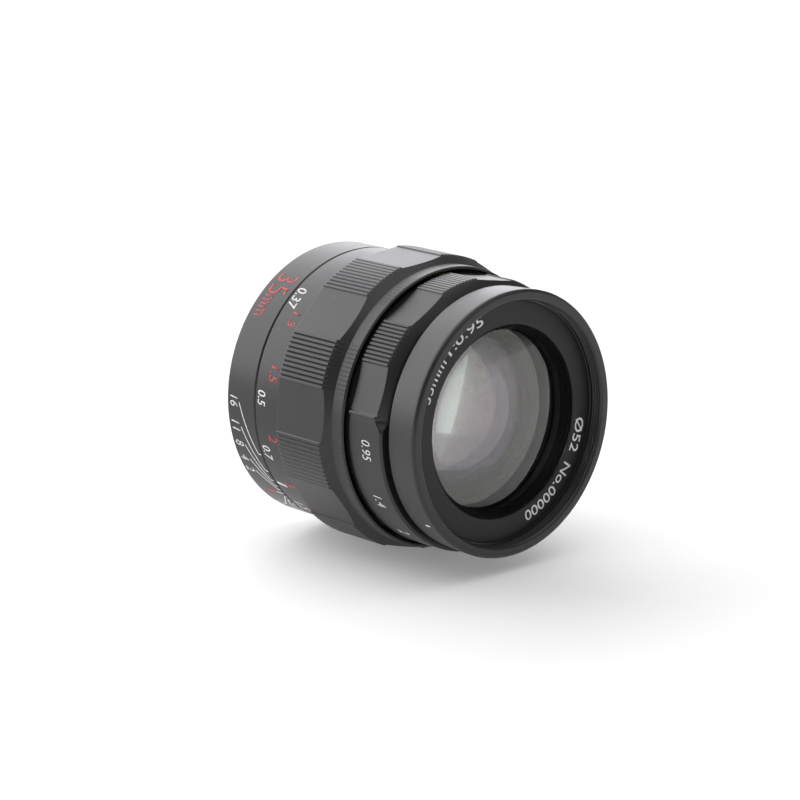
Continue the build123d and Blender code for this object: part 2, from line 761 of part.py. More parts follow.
with BuildPart() as mount_flange:
    with BuildSketch():
        Polygon(
            *section(
                (throat_radius, flange_front_station),
                (flange_radius, flange_front_station),
                (flange_radius, flange_station - 0.2),
                (flange_radius - 0.2, flange_station),
                (bayonet_radius, flange_station),
                (bayonet_radius, flange_station + bayonet_shoulder_length),
                (bayonet_inner_radius, flange_station + bayonet_shoulder_length),
                (bayonet_inner_radius, flange_station + bayonet_length),
                (throat_radius, flange_station + bayonet_length),
            ),
            align=None,
        )
    revolve(axis=Axis.Y)
    # three bayonet lugs
    with BuildSketch(facing_front(flange_station + bayonet_shoulder_length)):
        for angle in lug_angles:
            with BuildLine():
                start = angle - lug_width / 2
                inner_arc = CenterArc((0, 0), bayonet_inner_radius - 0.4, start, lug_width)
                outer_arc = CenterArc((0, 0), lug_radius, start, lug_width)
                Line(inner_arc @ 0, outer_arc @ 0)
                Line(inner_arc @ 1, outer_arc @ 1)
            make_face()
    extrude(amount=-lug_length)
    with BuildSketch(facing_front(flange_station)):
        for angle in mount_screw_angles:
            with Locations(polar(mount_screw_circle_radius, angle)):
                Circle(mount_screw_radius + seat_gap)
    extrude(amount=mount_screw_length, mode=Mode.SUBTRACT)
    head_depth = mount_screw_head_radius - mount_screw_radius
    for angle in mount_screw_angles:
        x, z = polar(mount_screw_circle_radius, angle)
        with BuildSketch(facing_front(flange_station)):
            with Locations((x, z)):
                Circle(mount_screw_head_radius + seat_gap)
        with BuildSketch(facing_front(flange_station - head_depth)):
            with Locations((x, z)):
                Circle(mount_screw_radius + seat_gap)
        loft(mode=Mode.SUBTRACT)
    with BuildSketch(facing_front(flange_station)):
        with Locations(polar(mount_screw_circle_radius, lock_hole_angle)):
            Circle(lock_hole_radius)
    extrude(amount=lock_hole_depth, mode=Mode.SUBTRACT)
save(mount_flange.part, "mount_flange")

with BuildPart() as mount_screws:
    for angle in mount_screw_angles:
        x, z = polar(mount_screw_circle_radius, angle)
        with BuildSketch(facing_front(flange_station - mount_screw_sunk)):
            with Locations((x, z)):
                Circle(mount_screw_head_radius)
        with BuildSketch(facing_front(flange_station - mount_screw_sunk - head_depth)):
            with Locations((x, z)):
                Circle(mount_screw_radius)
        loft()
        with BuildSketch(facing_front(flange_station - mount_screw_sunk - head_depth)):
            with Locations((x, z)):
                Circle(mount_screw_radius)
        extrude(amount=mount_screw_length - head_depth)
        # cross recess
        with BuildSketch(facing_front(flange_station)):
            with Locations((x, z)):
                Rectangle(mount_screw_recess_span, mount_screw_recess_width)
                Rectangle(mount_screw_recess_width, mount_screw_recess_span)
        extrude(amount=mount_screw_recess_depth, mode=Mode.SUBTRACT)
save(mount_screws.part, "mount_screws")

with BuildPart() as rear_baffle:
    with BuildSketch(Plane.XZ.offset(-baffle_front)):
        Circle(throat_radius - seat_gap)
        RectangleRounded(baffle_width, baffle_height, baffle_corner_radius, mode=Mode.SUBTRACT)
    extrude(amount=-(baffle_rear - baffle_front))
save(rear_baffle.part, "rear_baffle")

# ================= glass =================


def sag(curve, radius):
    """Axial distance from the vertex to the surface at a radius; curve 0 is flat."""
    if curve == 0:
        return 0.0
    rise = abs(curve) - sqrt(curve * curve - radius * radius)
    return rise if curve > 0 else -rise


def element(front_vertex, rear_vertex, front_curve, rear_curve, radius, front_clear=None, rear_clear=None):
    """A ground element. A clear radius ends a steep surface in a flat rim."""
    front_clear = front_clear or radius
    rear_clear = rear_clear or radius
    front_edge = front_vertex + sag(front_curve, front_clear)
    rear_edge = rear_vertex + sag(rear_curve, rear_clear)
    with BuildPart() as glass:
        with BuildSketch():
            with BuildLine():
                axis_front = (0, depth(front_vertex))
                axis_rear = (0, depth(rear_vertex))
                front_rim = (front_clear, depth(front_edge))
                rear_rim = (rear_clear, depth(rear_edge))
                if front_curve == 0:
                    Line(axis_front, front_rim)
                else:
                    half = front_clear / 2
                    half_way = (half, depth(front_vertex + sag(front_curve, half)))
                    ThreePointArc(axis_front, half_way, front_rim)
                if front_clear < radius:
                    Line(front_rim, (radius, depth(front_edge)))
                Line((radius, depth(front_edge)), (radius, depth(rear_edge)))
                if rear_clear < radius:
                    Line((radius, depth(rear_edge)), rear_rim)
                if rear_curve == 0:
                    Line(rear_rim, axis_rear)
                else:
                    half = rear_clear / 2
                    half_way = (half, depth(rear_vertex + sag(rear_curve, half)))
                    ThreePointArc(rear_rim, half_way, axis_rear)
                Line(axis_rear, axis_front)
            make_face()
        revolve(axis=Axis.Y)
    return glass.part


# front vertex, rear vertex, front curve, rear curve, radius, front clear, rear clear
first_radius = 19.4
second_radius = 16.6
third_radius = 14.2
fifth_radius = 12.2
seventh_radius = 12.0
eighth_radius = 11.8
tenth_radius = 11.0
eleventh_radius = 10.8
elements = [
    (3.4, 11.6, 80, 190, first_radius),
    (12.2, 17.8, 27, 62, second_radius),
    (18.3, 22.3, 30, 120, third_radius),
    (22.3 + cement_gap, 23.8, 120, 17.5, third_radius, None, 11.8),
    (35.6, 36.8, -18, 90, fifth_radius, 9.8, None),
    (36.8 + cement_gap, 41.4, 90, -27, fifth_radius),
    (41.7, 45.3, 80, -40, seventh_radius),
    (45.6, 49.6, 34, -60, eighth_radius),
    (49.6 + cement_gap, 50.8, -60, 28, eighth_radius),
    (51.3, 54.6, 30, -200, tenth_radius),
    (56.0, 57.2, -45, 0, eleventh_radius),
]
for number, numbers in enumerate(elements, start=1):
    save(element(*numbers), f"element_{number:02d}")


def surface(number, side, radius):
    """Station of an element's front or rear surface at a radius."""
    row = list(elements[number - 1]) + [None, None]
    vertex, curve, clear = (row[0], row[2], row[5]) if side == "front" else (row[1], row[3], row[6])
    return vertex + sag(curve, min(radius, clear or row[4]))


def seat_before(number, inner):
    """Where a flat ring of this inner radius stops in front of an element."""
    rim = elements[number - 1][4]
    return min(surface(number, "front", inner), surface(number, "front", rim)) - contact_gap


def seat_behind(number, inner):
    """Where a flat ring of this inner radius starts behind an element."""
    rim = elements[number - 1][4]
    return max(surface(number, "rear", inner), surface(number, "rear", rim)) + contact_gap


# ================= cells, retaining rings, spacers =================

front_lip_radius = 12.0
first_step = 15.0
second_seat = seat_behind(2, third_radius)
third_seat = seat_behind(4, front_lip_radius)
with BuildPart() as front_cell:
    with BuildSketch():
        Polygon(
            *section(
                (first_radius + glass_gap, front_cell_station),
                (front_cell_outer_radius, front_cell_station),
                (front_cell_outer_radius, cell_seat_station - seat_gap - cell_flange_thickness),
                (cell_flange_radius, cell_seat_station - seat_gap - cell_flange_thickness),
                (cell_flange_radius, cell_seat_station - seat_gap),
                (front_cell_outer_radius, cell_seat_station - seat_gap),
                (front_cell_outer_radius, front_cell_rear_station),
                (front_lip_radius, front_cell_rear_station),
                (front_lip_radius, third_seat),
                (third_radius + glass_gap, third_seat),
                (third_radius + glass_gap, second_seat),
                (second_radius + glass_gap, second_seat),
                (second_radius + glass_gap, first_step),
                (first_radius + glass_gap, first_step),
            ),
            align=None,
        )
    revolve(axis=Axis.Y)
save(front_cell.part, "front_cell")

# stepped light trap that also screws down on the front element
trap_radius = 19.0
trap_outer_radius = name_ring_inner_radius - 0.1
trap_steps = 4
trap_front_station = name_ring_station + 0.5
trap_rear_station = seat_before(1, trap_radius)
step_length = (trap_rear_station - 0.4 - trap_front_station) / trap_steps
step_width = (trap_outer_radius - 0.3 - trap_radius) / trap_steps
with BuildPart() as front_retaining_ring:
    with BuildSketch():
        corners = [
            (trap_radius, trap_rear_station),
            (first_radius, trap_rear_station),
            (first_radius, front_cell_station - seat_gap),
            (trap_outer_radius, front_cell_station - seat_gap),
            (trap_outer_radius, trap_front_station),
        ]
        for step in range(trap_steps):
            radius = trap_outer_radius - 0.3 - step * step_width
            corners.append((radius, trap_front_station + step * step_length))
            corners.append((radius - 0.1, trap_front_station + (step + 1) * step_length))
        corners.append((trap_radius, trap_rear_station - 0.4))
        Polygon(*section(*corners), align=None)
    revolve(axis=Axis.Y)
save(front_retaining_ring.part, "front_retaining_ring")


def ring(inner, outer, front, rear, name):
    save(turned((inner, front), (outer, front), (outer, rear), (inner, rear)), name)


front_spacer_radius = 17.3
second_ring_radius = 15.0
second_ring_length = 1.5
third_spacer_radius = 13.0
front_spacer_front = seat_behind(1, front_spacer_radius)
second_ring_rear = seat_before(2, second_ring_radius)
second_ring_front = second_ring_rear - second_ring_length
third_spacer_front = surface(2, "rear", third_radius) + contact_gap
third_spacer_rear = seat_before(3, third_spacer_radius)
ring(front_spacer_radius, first_radius, front_spacer_front, first_step - contact_gap, "front_spacer")
ring(second_ring_radius, second_radius, second_ring_front, second_ring_rear, "second_retaining_ring")
ring(third_spacer_radius, third_radius, third_spacer_front, third_spacer_rear, "third_spacer")

fifth_step = surface(6, "rear", fifth_radius) + 1.6
seventh_step = surface(7, "rear", seventh_radius) + 0.6
eighth_step = seat_behind(9, tenth_radius)
tenth_step = seat_behind(10, eleventh_radius)
eleventh_step = seat_behind(11, rear_cell_lip_radius)
with BuildPart() as rear_cell:
    with BuildSketch():
        Polygon(
            *section(
                (fifth_radius + glass_gap, rear_cell_front_station),
                (carrier_bore_radius - seat_gap, rear_cell_front_station),
                (carrier_bore_radius - seat_gap, rear_cell_flange_rear_station),
                (rear_cell_outer_radius, rear_cell_flange_rear_station),
                (rear_cell_outer_radius, rear_cell_rear_station - 1.5),
                (rear_cell_outer_radius - 1.5, rear_cell_rear_station),
                (rear_cell_lip_radius, rear_cell_rear_station),
                (rear_cell_lip_radius, eleventh_step),
                (eleventh_radius + glass_gap, eleventh_step),
                (eleventh_radius + glass_gap, tenth_step),
                (tenth_radius + glass_gap, tenth_step),
                (tenth_radius + glass_gap, eighth_step),
                (eighth_radius + glass_gap, eighth_step),
                (eighth_radius + glass_gap, seventh_step),
                (seventh_radius + glass_gap, seventh_step),
                (seventh_radius + glass_gap, fifth_step),
                (fifth_radius + glass_gap, fifth_step),
            ),
            align=None,
        )
    revolve(axis=Axis.Y)
save(rear_cell.part, "rear_cell")

rear_ring_radius = 10.2
rear_ring_front = rear_cell_front_station + 0.05
spacer_radii = (11.3, 10.9, 11.2)  # rear spacers 1 to 3
first_front = seat_behind(6, spacer_radii[0])
second_rear = seat_before(7, spacer_radii[1])
third_rear = seat_before(8, spacer_radii[2])
rear_ring_rear = seat_before(5, rear_ring_radius)
ring(rear_ring_radius, fifth_radius, rear_ring_front, rear_ring_rear, "rear_retaining_ring")
ring(spacer_radii[0], fifth_radius, first_front, fifth_step - contact_gap, "rear_spacer_1")
ring(spacer_radii[1], seventh_radius, fifth_step, second_rear, "rear_spacer_2")
ring(spacer_radii[2], eighth_radius, seventh_step, third_rear, "rear_spacer_3")
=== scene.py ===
import json
import math

import bmesh
import bpy
from mathutils import Matrix, Vector

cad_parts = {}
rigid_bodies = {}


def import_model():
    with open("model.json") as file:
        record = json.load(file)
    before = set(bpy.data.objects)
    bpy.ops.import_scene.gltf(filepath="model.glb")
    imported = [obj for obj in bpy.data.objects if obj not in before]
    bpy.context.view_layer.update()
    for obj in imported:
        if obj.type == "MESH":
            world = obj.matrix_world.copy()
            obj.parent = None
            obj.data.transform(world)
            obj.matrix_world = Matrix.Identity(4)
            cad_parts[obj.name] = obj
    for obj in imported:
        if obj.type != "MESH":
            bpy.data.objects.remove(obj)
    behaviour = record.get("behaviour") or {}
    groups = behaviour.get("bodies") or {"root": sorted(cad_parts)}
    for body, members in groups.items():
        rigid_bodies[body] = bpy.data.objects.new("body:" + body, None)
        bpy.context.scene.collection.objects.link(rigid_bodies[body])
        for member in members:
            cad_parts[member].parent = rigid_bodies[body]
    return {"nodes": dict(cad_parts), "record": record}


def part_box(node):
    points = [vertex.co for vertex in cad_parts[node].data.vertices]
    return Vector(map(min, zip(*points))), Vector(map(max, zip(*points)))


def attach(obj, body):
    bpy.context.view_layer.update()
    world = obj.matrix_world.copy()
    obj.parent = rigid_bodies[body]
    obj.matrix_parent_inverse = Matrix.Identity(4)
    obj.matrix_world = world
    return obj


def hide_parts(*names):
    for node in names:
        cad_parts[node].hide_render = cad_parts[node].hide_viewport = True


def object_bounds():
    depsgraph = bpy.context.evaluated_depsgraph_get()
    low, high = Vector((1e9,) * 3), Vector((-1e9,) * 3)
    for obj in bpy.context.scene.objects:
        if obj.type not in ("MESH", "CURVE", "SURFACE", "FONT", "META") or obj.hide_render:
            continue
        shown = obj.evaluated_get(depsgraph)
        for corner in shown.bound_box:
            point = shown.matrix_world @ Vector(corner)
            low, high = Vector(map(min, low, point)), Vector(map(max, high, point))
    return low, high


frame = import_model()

# The lens lies on its side: optical axis along Y, front rim towards -Y, Z up.
# A station is the distance in mm behind the front rim; angles run from +X towards +Z.
mm = 0.001
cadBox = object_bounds()
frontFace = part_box("front_barrel")[0].y
slotOf = {part["node"]: part["material_slot"] for part in frame["record"]["subparts"]}


def alongAxis(station):
    return frontFace + station * mm


def frontOf(node):
    return (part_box(node)[0].y - frontFace) / mm


def rearOf(node):
    return (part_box(node)[1].y - frontFace) / mm


# A socket that can be used in ordinary expressions; each operator adds a Math node.
class Wire:
    def __init__(self, tree, socket):
        self.tree = tree
        self.socket = socket

    def maths(self, operation, first, second=0.0, clamp=False):
        node = self.tree.nodes.new("ShaderNodeMath")
        node.operation = operation
        node.use_clamp = clamp
        for place, value in enumerate((first, second)):
            if isinstance(value, Wire):
                self.tree.links.new(value.socket, node.inputs[place])
            else:
                node.inputs[place].default_value = value
        return Wire(self.tree, node.outputs[0])

    def __add__(self, other):
        return self.maths("ADD", self, other)

    __radd__ = __add__

    def __sub__(self, other):
        return self.maths("SUBTRACT", self, other)

    def __rsub__(self, other):
        return self.maths("SUBTRACT", other, self)

    def __mul__(self, other):
        return self.maths("MULTIPLY", self, other)

    __rmul__ = __mul__

    def root(self):
        return self.maths("SQRT", self)

    def clamped(self):
        return self.maths("ADD", self, 0.0, clamp=True)


# Node tree of a material or of the world; every node but Math comes from add().
class Finish:
    def __init__(self, owner):
        self.owner = owner
        owner.use_nodes = True
        self.tree = owner.node_tree
        self.tree.nodes.clear()

    def add(self, kind, settings=None, values=None, output=0):
        node = self.tree.nodes.new("ShaderNode" + kind)
        for key, value in (settings or {}).items():
            setattr(node, key, value)
        for key, value in (values or {}).items():
            if isinstance(value, Wire):
                self.tree.links.new(value.socket, node.inputs[key])
            else:
                node.inputs[key].default_value = value
        return Wire(self.tree, node.outputs[output] if node.outputs else None)

    def placeInMm(self):
        place = self.add("TexCoord", output=3)
        return self.add("VectorMath", {"operation": "SCALE"}, {0: place, "Scale": 1 / mm})

    def noise(self, place, scale, detail=3.0):
        return self.add("TexNoise", None, {"Vector": place, "Scale": scale, "Detail": detail})

    def between(self, value, low, high):
        values = {"Value": value, "From Min": low, "From Max": high}
        return self.add("MapRange", {"clamp": True}, values)

    def tint(self, factor, first, second):
        colours = {6: first, 7: second}
        values = {key: colour if isinstance(colour, Wire) else (*colour, 1) for key, colour in colours.items()}
        return self.add("Mix", {"data_type": "RGBA"}, {0: factor, **values}, output=2)

    def bump(self, height):
        return self.add("Bump", None, {"Height": height, "Distance": mm, "Strength": 1.0})

    def surface(self, shader):
        self.add("OutputMaterial", None, {"Surface": shader})
        return self.owner


def metalFinish(name, look):
    paint = Finish(bpy.data.materials.new(name))
    place = paint.placeInMm()
    cloud = paint.noise(place, look["cloudScale"])
    grain = paint.noise(place, look["grainScale"], 2.0)
    # turning marks follow the lathe, so they depend on radius and station only
    x, y, z = (paint.add("SeparateXYZ", None, {0: place}, output=axis) for axis in range(3))
    radius = (x * x + z * z).root()
    turning = paint.add("CombineXYZ", None, {0: radius * look["ringScale"], 1: y * look["ringScale"]})
    rings = paint.noise(turning, 1.0, 2.0)
    edge = paint.add("Attribute", {"attribute_name": "edge"}, output=2)
    rubbed = paint.between(edge + cloud * 0.5, look["wearFrom"], look["wearFrom"] + 0.35)
    speck = paint.between(paint.noise(place, look["speckScale"], 0.0), look["speckFrom"], look["speckFrom"] + 0.03)
    colour = paint.tint(cloud, look["darkColour"], look["paleColour"])
    colour = paint.tint((rubbed * look["wearAmount"]).clamped(), colour, look["wornColour"])
    colour = paint.tint(speck * look["speckAmount"], colour, look["speckColour"])
    roughness = cloud * look["roughnessSpread"] + (look["roughness"] - 0.5 * look["roughnessSpread"])
    roughness = roughness + (rings - 0.5) * look["ringSpread"] - rubbed * look["wearPolish"]
    shader = {
        "Base Color": colour,
        "Metallic": look["metallic"],
        "Roughness": roughness,
        "Specular IOR Level": look["specular"],
        "Normal": paint.bump(grain * look["grainHeight"] + rings * look["ringHeight"]),
    }
    return paint.surface(paint.add("BsdfPrincipled", None, shader))


blackLook = {
    "darkColour": (0.0085, 0.0083, 0.0096),
    "paleColour": (0.0125, 0.0122, 0.0142),
    "wornColour": (0.035, 0.035, 0.038),
    "speckColour": (0.2, 0.2, 0.2),
    "cloudScale": 0.12,
    "grainScale": 5.0,
    "ringScale": 3.0,
    "speckScale": 1.3,
    "speckFrom": 0.86,
    "speckAmount": 0.25,
    "wearFrom": 0.85,
    "wearAmount": 0.6,
    "wearPolish": 0.08,
    "roughness": 0.36,
    "roughnessSpread": 0.08,
    "ringSpread": 0.06,
    "grainHeight": 0.002,
    "ringHeight": 0.0015,
    "metallic": 0.0,
    "specular": 0.52,
}
satinLook = dict(
    blackLook, darkColour=(0.006, 0.006, 0.0062), paleColour=(0.0092, 0.009, 0.009), roughness=0.5,
    specular=0.4, wearAmount=0.2, speckAmount=0.1, ringHeight=0.002,
)
flockedLook = dict(
    blackLook, darkColour=(0.003, 0.003, 0.003), paleColour=(0.0055, 0.0054, 0.0052), roughness=0.62,
    specular=0.06, wearAmount=0.2, speckAmount=0.1, ringHeight=0.002,
)
plasticLook = dict(
    blackLook, darkColour=(0.01, 0.01, 0.01), paleColour=(0.016, 0.016, 0.016), roughness=0.5,
    specular=0.45, grainHeight=0.012, ringHeight=0.0, ringSpread=0.0,
)
mountLook = dict(
    blackLook, darkColour=(0.56, 0.56, 0.57), paleColour=(0.68, 0.68, 0.69), wornColour=(0.8, 0.8, 0.8),
    speckColour=(0.3, 0.3, 0.3), roughness=0.26, metallic=1.0, ringHeight=0.004, ringSpread=0.12,
)
screwLook = dict(mountLook, darkColour=(0.4, 0.4, 0.42), paleColour=(0.52, 0.52, 0.54), roughness=0.34)
brassLook = dict(mountLook, darkColour=(0.5, 0.36, 0.14), paleColour=(0.62, 0.46, 0.2), roughness=0.3)
bladeLook = dict(
    mountLook, darkColour=(0.035, 0.035, 0.038), paleColour=(0.06, 0.06, 0.064),
    wornColour=(0.12, 0.12, 0.13), roughness=0.36, metallic=0.85, ringHeight=0.0,
)
finishes = {
    "black_anodised": metalFinish("blackAnodised", blackLook),
    "flocked_black": metalFinish("flockedBlack", flockedLook),
    "name_ring": metalFinish("satinBlack", satinLook),
    "mount_steel": metalFinish("mountSteel", mountLook),
    "screw_steel": metalFinish("screwSteel", screwLook),
    "helicoid_brass": metalFinish("helicoidBrass", brassLook),
    "black_plastic": metalFinish("blackPlastic", plasticLook),
    "blade_steel": metalFinish("bladeSteel", bladeLook),
}


def fillFinish(name, colour):
    paint = Finish(bpy.data.materials.new(name))
    place = paint.placeInMm()
    cloud = paint.noise(place, 1.1)
    shader = {
        "Base Color": paint.tint(cloud, tuple(0.8 * level for level in colour), colour),
        "Roughness": cloud * 0.15 + 0.42,
        "Normal": paint.bump(paint.noise(place, 7.0, 2.0) * 0.004),
    }
    return paint.surface(paint.add("BsdfPrincipled", None, shader))


whiteFill = fillFinish("whiteFill", (0.86, 0.86, 0.86))
redFill = fillFinish("redFill", (0.62, 0.03, 0.035))

glassLook = {"index": 1.62, "dust": 0.05}
coatings = {
    "clear": ((1.0, 0.98, 0.94), 0.12),  # tint of the reflection, and how strong it is
    "violet": ((0.75, 0.5, 0.95), 0.1),
    "blue": ((0.35, 0.55, 1.0), 0.06),
    "amber": ((1.0, 0.6, 0.25), 0.12),
    "green": ((0.5, 0.85, 0.65), 0.03),
}


def glassFinish(name, reflection, strength):
    glass = Finish(bpy.data.materials.new(name))
    place = glass.placeInMm()
    dust = glass.between(glass.noise(place, 2.2, 1.0), 0.77, 0.8)
    shader = {
        "Base Color": glass.tint(dust * glassLook["dust"], (0.9, 0.91, 0.9), (0.7, 0.7, 0.7)),
        "Roughness": dust * 0.03,
        "IOR": glassLook["index"],
        "Transmission Weight": 1.0,
        "Specular IOR Level": strength,
        "Specular Tint": (*reflection, 1),
    }
    return glass.surface(glass.add("BsdfPrincipled", None, shader))


# what the boxes that draw the reflections in the glass shine on
glassPieces = bpy.data.collections.new("glassPieces")
coatedGlass = {name: glassFinish(name + "Coating", *values) for name, values in coatings.items()}
print("finishes:", len(bpy.data.materials), "materials")


def meshPiece(name, points, faces, material, wear=None):
    mesh = bpy.data.meshes.new(name)
    mesh.from_pydata(points, [], faces)
    if wear:
        mesh.attributes.new("edge", "FLOAT", "POINT").data.foreach_set("value", wear)
    shape = bmesh.new()
    shape.from_mesh(mesh)
    bmesh.ops.recalc_face_normals(shape, faces=shape.faces)
    shape.to_mesh(mesh)
    shape.free()
    mesh.materials.append(material)
    mesh.shade_smooth()
    piece = bpy.data.objects.new(name, mesh)
    bpy.context.collection.objects.link(piece)
    return piece


# Rounds each corner of a closed half section with a start, a middle and an end point.
# Outward corners carry wear, which the finishes read as the "edge" attribute.
def softened(corners, size):
    count = len(corners)
    area = sum(corners[i - 1][0] * corners[i][1] - corners[i][0] * corners[i - 1][1] for i in range(count))
    outline = []
    for i, corner in enumerate(corners):
        here = Vector(corner)
        into = Vector(corners[i - 1]) - here
        away = Vector(corners[(i + 1) % count]) - here
        start = into.normalized() * min(size, 0.4 * into.length)
        end = away.normalized() * min(size, 0.4 * away.length)
        bend = -into.normalized().cross(away.normalized()) * math.copysign(1, area)
        rub = 1.0 if bend > 0.2 else 0.0
        middle = here + (start + end) * 0.293
        for point, level in ((here + start, 0.5 * rub), (middle, rub), (here + end, 0.5 * rub)):
            outline.append((point.x, point.y, level))
    return outline


# One column of outline points at each angle, joined round the axis into a closed ring.
def ringPiece(name, columns, slot, node, body):
    points, wear, faces = [], [], []
    rows = len(columns[0][1])
    for angle, outline in columns:
        across, up = math.cos(math.radians(angle)) * mm, math.sin(math.radians(angle)) * mm
        for radius, station, level in outline:
            points.append((radius * across, alongAxis(station), radius * up))
            wear.append(level)
    for i in range(len(columns)):
        here, following = i * rows, (i + 1) % len(columns) * rows
        for k in range(rows):
            beyond = (k + 1) % rows
            faces.append((here + k, here + beyond, following + beyond, following + k))
    piece = meshPiece(name, points, faces, finishes.get(node, finishes[slot]), wear)
    modifier = piece.modifiers.new("steadyNormals", "WEIGHTED_NORMAL")
    modifier.weight = 80
    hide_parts(node)
    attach(piece, body)
    return piece


frontBarrel = {
    "segments": 384,
    "softness": 0.12,
    "threadCrest": 25.6,
    "threadDepth": 0.4,
    "threadPitch": 0.75,
    "threadFront": 0.5,
    "threadRear": 2.8,
    "threadRows": 46,
}


def threadRows(angle):
    look, rows = frontBarrel, []
    length = look["threadRear"] - look["threadFront"]
    for row in range(1, look["threadRows"]):
        station = look["threadRear"] - length * row / look["threadRows"]
        phase = (station / look["threadPitch"] + angle / 360) % 1
        groove = min(1.0, max(0.0, (abs(2 * phase - 1) - 0.14) / 0.72))
        fade = min(1.0, (station - look["threadFront"]) / 0.12, (look["threadRear"] - station) / 0.12)
        radius = look["threadCrest"] + look["threadDepth"] * groove * fade
        rows.append((radius, station, 0.6 * (1 - groove)))
    return rows


def buildFrontBarrel():
    look = frontBarrel
    corners = [
        (26.1, 0.0), (27.5, 0.0), (28.0, 0.5), (28.0, 1.2), (27.6, 7.9), (27.3, 8.2), (26.5, 8.2), (26.5, 9.1),
        (25.25, 9.1), (25.25, 4.6), (24.0, 4.6), (24.0, 4.2), (25.25, 4.2), (25.25, 3.0), (26.0, 3.0),
        (26.0, look["threadRear"]), (look["threadCrest"], look["threadRear"]),
        (look["threadCrest"], look["threadFront"]),
    ]
    outline = softened(corners, look["softness"])
    columns = []
    for step in range(look["segments"]):
        angle = 360 * step / look["segments"]
        columns.append((angle, outline[:-3] + threadRows(angle) + outline[-3:]))
    return ringPiece("frontBarrel", columns, "black_anodised", "front_barrel", "front_group")


def plainRing(name, corners, softness, segments, slot, node, body):
    outline = softened(corners, softness)
    columns = [(360 * step / segments, outline) for step in range(segments)]
    return ringPiece(name, columns, slot, node, body)


buildFrontBarrel()
plainRing(
    "nameRing", [(20.25, 3.25), (20.5, 3.0), (25.2, 3.0), (25.2, 4.18), (20.25, 4.18)],
    0.06, 288, "flocked_black", "name_ring", "front_group",
)
plainRing(
    "rearBarrel",
    [
        (29.5, 46.95), (29.7, 47.15), (29.8, 47.3), (29.8, 55.75), (29.4, 56.15), (28.55, 56.15), (28.55, 54.8),
        (21.4, 54.8), (21.4, 52.4),
        (25.6, 52.4), (25.6, 39.0), (27.2, 39.0), (27.2, 46.95),
    ],
    0.08, 384, "black_anodised", "rear_barrel", "fixed_barrel",
)
print("turned rings done")

# share of a ridge's pitch, and how far up from the groove to the crest
ridgeShape = ((0.03, 0.0), (0.19, 0.86), (0.25, 1.0), (0.75, 1.0), (0.81, 0.86), (0.97, 0.0))


def lobeRadii(centre, crest, root, width=20.0, ridges=11):
    pitch = width / ridges
    start = centre - width / 2
    return [
        (start + (ridge + share) * pitch, root + (crest - root) * lift)
        for ridge in range(ridges)
        for share, lift in ridgeShape
    ]


# A flat seen end on: the radius along a chord between two points of the same radius.
def flatRadii(start, end, radius, steps=10):
    middle, half = (start + end) / 2, (end - start) / 2
    angles = [start + (end - start) * step / steps for step in range(steps + 1)]
    rise = radius * math.cos(math.radians(half))
    return [(angle, rise / math.cos(math.radians(angle - middle))) for angle in angles]


focusRing = {
    "crest": 31.5,
    "root": 31.22,
    "firstLobe": 155.5,
    "lobes": 9,
    "pitch": 40.0,
    "softness": 0.1,
    "screwAngles": (295.5, 15.5),
    "screwStation": 31.5,
    "screwRadius": 1.05,
}


def focusOutline(radius):
    chamfer = max(0.06, radius - 31.2)
    corners = [
        (29.5, 19.48), (29.8, 19.78), (29.8, 22.8), (radius, 22.8 + (radius - 29.8) / 1.7 * 2.2),
        (radius, 38.5 - chamfer), (radius - chamfer, 38.5), (29.8, 38.5), (29.8, 46.65), (29.6, 46.85),
        (27.28, 46.85), (27.28, 41.0), (28.3, 41.0), (28.3, 38.7), (28.0, 38.7), (28.0, 22.6), (29.2, 22.6),
        (29.2, 19.48),
    ]
    return softened(corners, focusRing["softness"])


def buildFocusRing():
    look, radii = focusRing, []
    for lobe in range(look["lobes"]):
        centre = look["firstLobe"] + lobe * look["pitch"]
        radii += lobeRadii(centre, look["crest"], look["root"])
        radii += flatRadii(centre + 10, centre + 30, look["root"])
    columns = [(angle, focusOutline(radius)) for angle, radius in radii]
    ring = ringPiece("focusRing", columns, "black_anodised", "focus_ring", "focus_ring")
    # holes over the grub screws
    cutter = bmesh.new()
    for angle in look["screwAngles"]:
        outward = Vector((math.cos(math.radians(angle)), 0, math.sin(math.radians(angle))))
        place = Matrix.Translation(outward * 30 * mm + Vector((0, alongAxis(look["screwStation"]), 0)))
        turn = outward.to_track_quat("Z", "Y").to_matrix().to_4x4()
        width = look["screwRadius"] * mm
        bmesh.ops.create_cone(
            cutter, cap_ends=True, segments=48, radius1=width, radius2=width, depth=5 * mm,
            matrix=place @ turn,
        )
    mesh = bpy.data.meshes.new("screwHoles")
    cutter.to_mesh(mesh)
    cutter.free()
    drill = bpy.data.objects.new("screwHoles", mesh)
    bpy.context.collection.objects.link(drill)
    hole = ring.modifiers.new("screwHoles", "BOOLEAN")
    hole.operation = "DIFFERENCE"
    hole.object = drill
    ring.modifiers.move(1, 0)
    bpy.context.view_layer.update()
    steady = ring.modifiers["steadyNormals"]
    steady.show_viewport = False
    ready = ring.evaluated_get(bpy.context.evaluated_depsgraph_get())
    cut = bpy.data.meshes.new_from_object(ready)
    ring.modifiers.remove(hole)
    steady.show_viewport = True
    ring.data = cut
    bpy.data.objects.remove(drill)
    return ring


apertureRing = {
    "crest": 28.95,
    "root": 28.67,
    "lobes": (-19.5, 20.5, 60.5, 100.5, 140.5),
    "plainStart": 171.5,
    "plainEnd": 309.5,
    "plainRadius": 28.6,
    "ridgeHalf": 0.7,
    "cornerWidth": 5.2,
    "cornerLength": 1.9,
    "cornerRadius": 26.6,
    "softness": 0.12,
}


def apertureOutline(radius, front):
    corners = [*front, (radius, 18.7), (25.28, 18.7), (25.28, 9.2)]
    return softened(corners, apertureRing["softness"])


